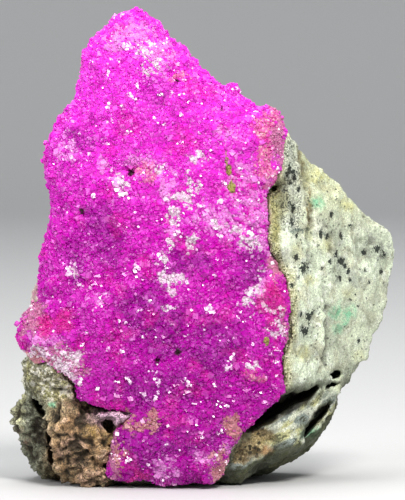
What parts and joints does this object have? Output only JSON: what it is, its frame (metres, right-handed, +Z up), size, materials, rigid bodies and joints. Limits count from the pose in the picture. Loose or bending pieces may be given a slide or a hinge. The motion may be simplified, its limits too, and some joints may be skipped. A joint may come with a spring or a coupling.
{
  "type": "mineral specimen",
  "caption": "Magenta druse of small rhombic crystals over the front of a broken block of host rock with bedding cracks, standing on a flat broken foot.",
  "frame": {"origin": "middle of the specimen's footprint box, at the height of its flat foot", "axes": "+Z up, from the foot to the peak; +X to the right of the druse face; +Y back into the rock, so the druse faces -Y"},
  "size_m": [0.0566, 0.0312, 0.07],
  "materials": {
    "rock": "rough broken rock, cream and grey-green with brown stains",
    "druse": "glassy translucent crystals"
  },
  "bodies": {
    "root": {"matrix_rock": "rock", "dolomite_crust": "druse"}
  },
  "joints": []
}
